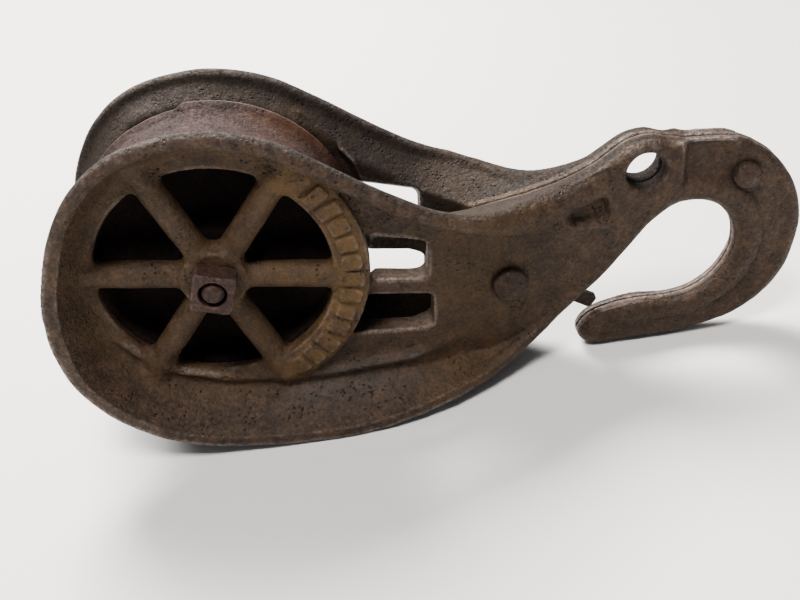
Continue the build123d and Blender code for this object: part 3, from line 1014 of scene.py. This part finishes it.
class Graph:
    """A thin hand for laying nodes into a tree."""

    def __init__(self, tree: bpy.types.NodeTree) -> None:
        """Keeps the tree."""
        self.tree = tree

    def node(self, kind: str, **settings: object) -> bpy.types.Node:
        """Adds a node; settings named in_SOCKET fill or link a socket, others set attributes."""
        made = self.tree.nodes.new(kind)
        for key, value in settings.items():
            if not key.startswith("in_"):
                setattr(made, key, value)
        for key, value in settings.items():
            if key.startswith("in_"):
                self.plug(made, key[3:], value)
        return made

    def plug(self, made: bpy.types.Node, key: str, value: object) -> None:
        """Fills or links one input socket, given by its number or by its name."""
        socket = made.inputs[int(key)] if key.isdigit() else made.inputs[key.replace("_", " ")]
        if isinstance(value, bpy.types.NodeSocket):
            self.tree.links.new(value, socket)
        else:
            socket.default_value = value

    def maths(self, operation: str, *values: object, clamp: bool = False) -> bpy.types.NodeSocket:
        """A math node's result."""
        made = self.tree.nodes.new("ShaderNodeMath")
        made.operation, made.use_clamp = operation, clamp
        for k, value in enumerate(values):
            self.plug(made, str(k), value)
        return made.outputs[0]

    def times(self, a: object, b: object) -> bpy.types.NodeSocket:
        """The product of two values."""
        return self.maths("MULTIPLY", a, b)

    def plus(self, a: object, b: object) -> bpy.types.NodeSocket:
        """The sum of two values."""
        return self.maths("ADD", a, b)

    def minus(self, a: object, b: object) -> bpy.types.NodeSocket:
        """The first value less the second."""
        return self.maths("SUBTRACT", a, b)

    def span(self, value: object, low: float, high: float, to_low: float = 0.0,
             to_high: float = 1.0) -> bpy.types.NodeSocket:
        """Maps a range smoothly to another, held at its ends."""
        made = self.node("ShaderNodeMapRange", interpolation_type="SMOOTHSTEP", in_0=value,
                         in_1=low, in_2=high, in_3=to_low, in_4=to_high)
        return made.outputs[0]

    def mix(self, amount: object, under: object, over: object,
            blend: str = "MIX") -> bpy.types.NodeSocket:
        """Mixes two colours."""
        made = self.node("ShaderNodeMix", data_type="RGBA", blend_type=blend, in_0=amount,
                         in_6=under, in_7=over)
        return made.outputs[2]

    def noise(self, place: object, scale: float, detail: float = 4.0, rough: float = 0.55,
              bend: float = 0.0) -> bpy.types.NodeSocket:
        """A fractal noise value."""
        made = self.node("ShaderNodeTexNoise", in_Vector=place, in_Scale=scale, in_Detail=detail,
                         in_Roughness=rough, in_Distortion=bend)
        return made.outputs[0]

    def tone(self, name: str) -> bpy.types.NodeSocket:
        """Reads a named value that the mesh carries."""
        return self.node("ShaderNodeAttribute", attribute_name=name).outputs["Fac"]


def group(
    name: str, inputs: dict[str, tuple], outputs: dict[str, str]
) -> tuple[bpy.types.NodeTree, dict, Graph]:
    """Starts a shader node group.

    Args:
        name: the group's name.
        inputs: socket names with their type and default.
        outputs: socket names with their type.

    Returns:
        The group's tree, its input sockets by name, and a graph over it.
    """
    tree = bpy.data.node_groups.new(name, "ShaderNodeTree")
    for label, (kind, default) in inputs.items():
        socket = tree.interface.new_socket(label, in_out="INPUT", socket_type=f"NodeSocket{kind}")
        if default is not None:
            socket.default_value = default
    for label, kind in outputs.items():
        tree.interface.new_socket(label, in_out="OUTPUT", socket_type=f"NodeSocket{kind}")
    entry = tree.nodes.new("NodeGroupInput")
    return tree, {label: entry.outputs[label] for label in inputs}, Graph(tree)


def close_group(graph: Graph, results: dict[str, bpy.types.NodeSocket]) -> None:
    """Links the results to the group's outputs."""
    end = graph.tree.nodes.new("NodeGroupOutput")
    for label, socket in results.items():
        graph.tree.links.new(socket, end.inputs[label])


class Effects:
    """The node groups that several finishes share."""

    def __init__(self) -> None:
        """Builds each group once."""
        self.sand = self.sand_cast()
        self.rust = self.rust_bloom()
        self.rub = self.edge_rub()

    def sand_cast(self) -> bpy.types.NodeTree:
        """Height of a sand-cast or corroded skin: swells, grain and small pits."""
        tree, into, g = group(
            "sand_cast_skin",
            {"Place": ("Vector", None), "Grain": ("Float", 1.0), "Pits": ("Float", 1.0)},
            {"Height": "Float", "Pitted": "Float"},
        )
        swell = g.noise(into["Place"], 60, 3, 0.5)
        grain = g.noise(into["Place"], 900, 5, 0.65)
        coarse = g.noise(into["Place"], 330, 4, 0.6, 0.3)
        cells = g.node("ShaderNodeTexVoronoi", in_Vector=into["Place"], in_Scale=420.0)
        where = g.span(g.noise(into["Place"], 85, 3), 0.46, 0.66)
        pits = g.times(g.span(cells.outputs["Distance"], 0.34, 0.05), where)
        rough = g.plus(g.times(grain, 0.42), g.times(coarse, 0.75))
        height = g.plus(g.times(rough, into["Grain"]), g.times(swell, 0.8))
        height = g.minus(height, g.times(pits, into["Pits"]))
        close_group(g, {"Height": height, "Pitted": pits})
        return tree

    def rust_bloom(self) -> bpy.types.NodeTree:
        """Colour of old iron: dark scale, brown rust and orange bloom, in patches."""
        tree, into, g = group(
            "rust_bloom",
            {"Place": ("Vector", None), "Scale Tone": ("Color", (0.1, 0.1, 0.1, 1)),
             "Rust": ("Color", (0.1, 0.05, 0.03, 1)), "Bloom": ("Color", (0.3, 0.12, 0.04, 1)),
             "Rustiness": ("Float", 0.5), "Blooming": ("Float", 0.2)},
            {"Color": "Color", "Rusted": "Float"},
        )
        patch = g.plus(g.times(g.noise(into["Place"], 38, 6, 0.62, 0.4), 0.65),
                        g.times(g.noise(into["Place"], 170, 5, 0.7), 0.35))
        low = g.minus(0.86, into["Rustiness"])
        above = g.minus(patch, g.times(low, 0.62))
        rusted = g.maths("DIVIDE", above, 0.16, clamp=True)
        colour = g.mix(rusted, into["Scale Tone"], into["Rust"])
        speck = g.noise(into["Place"], 620, 5, 0.7)
        flecks = g.plus(g.times(speck, 0.5),
                         g.times(g.noise(into["Place"], 70, 5, 0.6, 0.6), 0.5))
        start = g.minus(0.74, g.times(into["Blooming"], 0.42))
        bloom = g.maths("DIVIDE", g.minus(flecks, start), 0.13, clamp=True)
        colour = g.mix(bloom, colour, into["Bloom"])
        fine = g.span(g.noise(into["Place"], 480, 6, 0.72), 0.32, 0.7, 0.58, 1.5)
        broad = g.span(g.noise(into["Place"], 120, 4, 0.6, 0.5), 0.32, 0.68, 0.72, 1.32)
        shade = g.times(fine, broad)
        dapple = g.node("ShaderNodeCombineColor", in_0=shade, in_1=shade, in_2=shade).outputs[0]
        colour = g.mix(1.0, colour, dapple, "MULTIPLY")
        close_group(g, {"Color": colour, "Rusted": g.maths("MAXIMUM", rusted, bloom)})
        return tree

    def edge_rub(self) -> bpy.types.NodeTree:
        """Masks of rubbed edges with their painted highlight, proud edges broken up by noise and
        sprinkled with pale flecks of bare metal and painted glints; and of hollows, for painted
        shade.
        """
        tree, into, g = group(
            "edge_rub",
            {"Place": ("Vector", None), "Proud": ("Float", 0.0), "Low": ("Float", 0.2),
             "High": ("Float", 0.6)},
            {"Rubbed": "Float", "Hollow": "Float"},
        )
        ragged = g.minus(g.noise(into["Place"], 210, 6, 0.7), 0.5)
        proud = g.plus(into["Proud"], g.times(ragged, 0.9))
        reach = g.minus(into["High"], into["Low"])
        rubbed = g.maths("DIVIDE", g.minus(proud, into["Low"]), reach, clamp=True)
        # Breaks the rubbed wear and its painted highlight up into flecks.
        flecks = g.span(g.noise(into["Place"], 560, 4, 0.75), 0.4, 0.58, 0.3, 1.25)
        rubbed = g.times(rubbed, flecks)
        # Pale flecks all over: bare metal and painted glints.
        bare_and_glint = g.span(g.noise(into["Place"], 780, 4, 0.8), 0.6, 0.72, 0.0, 0.4)
        rubbed = g.maths("MAXIMUM", rubbed, g.times(bare_and_glint, g.span(into["Proud"], -0.3, 0.1)))
        # Concave places, where painted shade darkens hollows and creases.
        hollow = g.span(into["Proud"], -0.12, -0.75)
        close_group(g, {"Rubbed": rubbed, "Hollow": hollow})
        return tree


# ---- finishes


Colour = tuple[float, float, float, float]
# Pale dust colour, which also stands for a painted sheen.
DUST_AND_SHEEN_TONE: Colour = (0.115, 0.104, 0.101, 1)
# Dark colour of the painted shade in hollows and creases.
HOLLOW_SHADE_TONE: Colour = (0.022, 0.016, 0.014, 1)
PIT_TONE: Colour = (0.03, 0.02, 0.016, 1)
# Near-black for painted shade, with some grime.
SHADE_AND_GRIME_TONE: Colour = (0.012, 0.009, 0.008, 1)


@dataclass(frozen=True)
class IronFinish:
    """An old iron finish.

    Attributes:
        name: the material's name.
        scale: the dark scale's colour.
        rust: the brown rust's colour.
        bloom: the orange bloom's colour.
        rubbed: the colour where edges are rubbed, which is also a painted highlight.
        ochre: the colour that the warm parts turn to.
        rustiness: how much brown rust, 0 to 1.
        blooming: how much bloom, 0 to 1.
        warming: how far the warm parts turn, 0 to 1.
        dusting: how much pale dust, with a painted sheen, lies on the dusty parts, 0 to 1.
        rub: strength of the rubbed edges and their painted highlight, 0 to 1.
        rub_from: edge value where rubbing and its painted highlight start.
        rub_to: edge value where rubbing and its painted highlight are full.
        grain: depth of the sand grain.
        pits: depth of the pits.
        roughness: roughness of the dark scale.
        specular: strength of the plain gloss.
    """

    name: str
    scale: Colour = (0.030, 0.0225, 0.0215, 1)
    rust: Colour = (0.050, 0.029, 0.0165, 1)
    bloom: Colour = (0.17, 0.080, 0.030, 1)
    rubbed: Colour = (0.34, 0.285, 0.265, 1)
    ochre: Colour = (0.128, 0.074, 0.027, 1)
    rustiness: float = 0.5
    blooming: float = 0.25
    warming: float = 0.8
    dusting: float = 0.4
    rub: float = 0.55
    rub_from: float = 0.3
    rub_to: float = 0.95
    grain: float = 1.0
    pits: float = 1.0
    roughness: float = 0.42
    specular: float = 0.45

    def make(self, effects: Effects) -> bpy.types.Material:
        """Builds the material.

        Args:
            effects: the shared node groups.

        Returns:
            The material.
        """
        material = bpy.data.materials.new(self.name)
        material.use_nodes = True
        tree = material.node_tree
        tree.nodes.clear()
        g = Graph(tree)
        place = g.node("ShaderNodeTexCoord").outputs["Object"]
        rust = g.node("ShaderNodeGroup", node_tree=effects.rust, in_Place=place,
                      in_Scale_Tone=self.scale, in_Rust=self.rust, in_Bloom=self.bloom,
                      in_Rustiness=self.rustiness, in_Blooming=self.blooming)
        sand = g.node("ShaderNodeGroup", node_tree=effects.sand, in_Place=place,
                      in_Grain=self.grain, in_Pits=self.pits)
        rub = g.node("ShaderNodeGroup", node_tree=effects.rub, in_Place=place,
                     in_Proud=g.tone("edge"), in_Low=self.rub_from, in_High=self.rub_to)
        patchy = g.span(g.noise(place, 75, 6, 0.7, 0.5), 0.34, 0.6, 0.15, 1.1)
        warm = g.times(g.times(g.tone("warmth"), self.warming), patchy)
        colour = g.mix(warm, rust.outputs["Color"], self.ochre)
        # Pale dust with a painted sheen on the flared wall.
        colour = g.mix(g.times(g.tone("dust"), self.dusting), colour, DUST_AND_SHEEN_TONE)
        # Painted shade darkens hollows and creases.
        hollow = g.times(rub.outputs["Hollow"], 0.55)
        colour = g.mix(hollow, colour, HOLLOW_SHADE_TONE)
        pitted = g.times(sand.outputs["Pitted"], 0.4)
        colour = g.mix(pitted, colour, PIT_TONE)
        # Painted shade, with some grime, on inner surfaces, the eye's bore, round the rivets and on
        # the sheave's web.
        colour = g.mix(g.times(g.tone("shade_and_grime"), 0.8), colour, SHADE_AND_GRIME_TONE)
        # Rubbed edges: worn metal, whose pale colour is also a painted highlight with painted
        # glints.
        rubbed = g.times(rub.outputs["Rubbed"], self.rub)
        colour = g.mix(rubbed, colour, self.rubbed)
        gloss = g.span(rust.outputs["Rusted"], 0, 1, self.roughness, self.roughness + 0.2)
        gloss = g.minus(gloss, g.times(rubbed, 0.34))
        gloss = g.plus(gloss, g.span(g.noise(place, 700, 4, 0.7), 0.38, 0.62, -0.14, 0.12))
        gloss = g.plus(gloss, g.times(g.tone("shade_and_grime"), 0.25))
        bump = g.node("ShaderNodeBump", in_Strength=1.0, in_Distance=0.0012,
                      in_Height=sand.outputs["Height"])
        metal = g.times(rubbed, 0.6)
        shader = g.node("ShaderNodeBsdfPrincipled", in_Base_Color=colour, in_Roughness=gloss,
                        in_Metallic=metal, in_Normal=bump.outputs[0])
        shader.inputs["Specular IOR Level"].default_value = self.specular
        g.node("ShaderNodeOutputMaterial", in_Surface=shader.outputs[0])
        return material


CHEEK_IRON = IronFinish("cheek_iron")
SHEAVE_IRON = IronFinish(
    "sheave_iron", scale=(0.028, 0.019, 0.021, 1), rust=(0.040, 0.023, 0.020, 1),
    bloom=(0.12, 0.052, 0.024, 1), ochre=(0.16, 0.07, 0.03, 1), rustiness=0.6, blooming=0.3,
    warming=0.35, dusting=0.0, rub=0.4, grain=0.8, pits=0.7, roughness=0.62, specular=0.3,
)
BOLT_STEEL = IronFinish(
    "fastener_steel", scale=(0.026, 0.018, 0.019, 1), rust=(0.046, 0.023, 0.016, 1), warming=0.0,
    grain=0.8, pits=1.0, rub=0.22, rub_from=0.12, rub_to=0.5,
)
# Strong rubbing on the rivets, whose pale colour is also a painted highlight on the heads' edges.
RIVET_STEEL = IronFinish(
    "rivet_steel", scale=(0.027, 0.020, 0.019, 1), rust=(0.048, 0.027, 0.017, 1), warming=0.0,
    grain=0.9, pits=1.2, rub=0.55, rub_from=0.2, rub_to=0.8,
)


# ---- studio


@dataclass(frozen=True)
class Lamp:
    """A soft area light that points at the middle of the object.

    Attributes:
        name: the light's name.
        at: place relative to the object's middle, in metres.
        size: side of the square light, in metres.
        watts: power.
        tint: colour.
    """

    name: str
    at: tuple[float, float, float]
    size: float
    watts: float
    tint: tuple[float, float, float] = (1.0, 1.0, 1.0)

    def hang(self, middle: Vector) -> None:
        """Adds the light to the scene."""
        data = bpy.data.lights.new(self.name, "AREA")
        data.size, data.energy, data.color = self.size, self.watts, self.tint
        thing = bpy.data.objects.new(self.name, data)
        thing.location = middle + Vector(self.at)
        thing.rotation_euler = (middle - thing.location).to_track_quat("-Z", "Y").to_euler()
        bpy.context.scene.collection.objects.link(thing)


@dataclass
class Studio:
    """Floor, lights, surround and camera."""

    azimuth: float = 0.109
    elevation: float = 35.561
    roll: float = -8.132
    distance: float = 0.5302
    aim: tuple[float, float] = (-0.0218, 0.0457)
    lens: float = 44.96
    floor_half: float = 4.0
    floor_colour: Colour = (0.80, 0.785, 0.76, 1)
    surround: Colour = (0.86, 0.9, 1.0, 1)
    surround_strength: float = 0.15
    lamps: tuple[Lamp, ...] = (
        Lamp("key", (-0.35, 0.85, 1.15), 0.7, 62, (1.0, 0.985, 0.96)),
        Lamp("top", (-0.25, -0.5, 1.35), 0.4, 21, (1.0, 0.985, 0.96)),
        Lamp("fill", (-1.1, -1.2, 0.8), 0.9, 1.0, (0.97, 0.98, 1.0)),
    )

    def lay_floor(self) -> None:
        """A plain pale floor."""
        half = self.floor_half
        mesh = bpy.data.meshes.new("floor")
        corners = [(-half, -half, 0), (half, -half, 0), (half, half, 0), (-half, half, 0)]
        mesh.from_pydata(corners, [], [(0, 1, 2, 3)])
        floor = bpy.data.objects.new("floor", mesh)
        bpy.context.scene.collection.objects.link(floor)
        material = bpy.data.materials.new("floor_paint")
        material.use_nodes = True
        tree = material.node_tree
        shader = tree.nodes["Principled BSDF"]
        shader.inputs["Base Color"].default_value = self.floor_colour
        shader.inputs["Roughness"].default_value = 0.85
        mesh.materials.append(material)
        floor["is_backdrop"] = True

    def light(self, middle: Vector) -> None:
        """A broad key from above and behind, a light above in front, a fill and a weak surround."""
        for lamp in self.lamps:
            lamp.hang(middle)
        world = bpy.data.worlds.new("surround")
        world.use_nodes = True
        world.node_tree.nodes["Background"].inputs[0].default_value = self.surround
        world.node_tree.nodes["Background"].inputs[1].default_value = self.surround_strength
        bpy.context.scene.world = world
        bpy.context.scene.view_settings.look = "AgX - Medium High Contrast"

    def stand_camera(self, middle: Vector) -> None:
        """Stands the camera at its angle, rolled as a hand-held one is."""
        azimuth, elevation = math.radians(self.azimuth), math.radians(self.elevation)
        gaze = Vector((
            -math.sin(-azimuth) * math.cos(elevation),
            math.cos(azimuth) * math.cos(elevation),
            -math.sin(elevation),
        ))
        aim = Vector((middle.x + self.aim[0], middle.y, self.aim[1]))
        data = bpy.data.cameras.new("camera")
        data.lens, data.sensor_width = self.lens, 36
        camera = bpy.data.objects.new("camera", data)
        upright = gaze.to_track_quat("-Z", "Y").to_matrix()
        roll = Matrix.Rotation(math.radians(self.roll), 3, "Z")
        stand = Matrix.Translation(aim - gaze * self.distance)
        camera.matrix_world = stand @ (upright @ roll).to_4x4()
        bpy.context.scene.collection.objects.link(camera)
        bpy.context.scene.camera = camera


def main() -> None:
    """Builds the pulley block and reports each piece."""
    logging.basicConfig(level=logging.INFO, stream=sys.stdout, format="%(message)s")
    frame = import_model()
    low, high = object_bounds()
    middle = (low + high) / 2
    casting = CastingFrame.from_record(frame["record"])
    effects = Effects()
    cheek_iron, sheave_iron = CHEEK_IRON.make(effects), SHEAVE_IRON.make(effects)
    steel = {"fastener_steel": BOLT_STEEL.make(effects), "rivet_steel": RIVET_STEEL.make(effects)}
    for cheek in (Cheek(Side.FRONT, 5), Cheek(Side.REAR, 11)):
        report(cheek.build(casting, cheek_iron))
    report(Sheave().build(casting, sheave_iron))
    for piece in Fastenings().pieces():
        report(piece.build(casting, steel[piece.material_slot]))
    sleeve = frame["nodes"]["axle_sleeve"]
    sleeve.data.materials.clear()
    sleeve.data.materials.append(steel["fastener_steel"])
    report(sleeve)
    studio = Studio()
    studio.lay_floor()
    studio.light(middle)
    studio.stand_camera(middle)


def report(piece: bpy.types.Object) -> None:
    """Reports a finished piece."""
    LOG.info("%s: %d vertices", piece.name, len(piece.data.vertices))


if __name__ == "__main__":
    main()
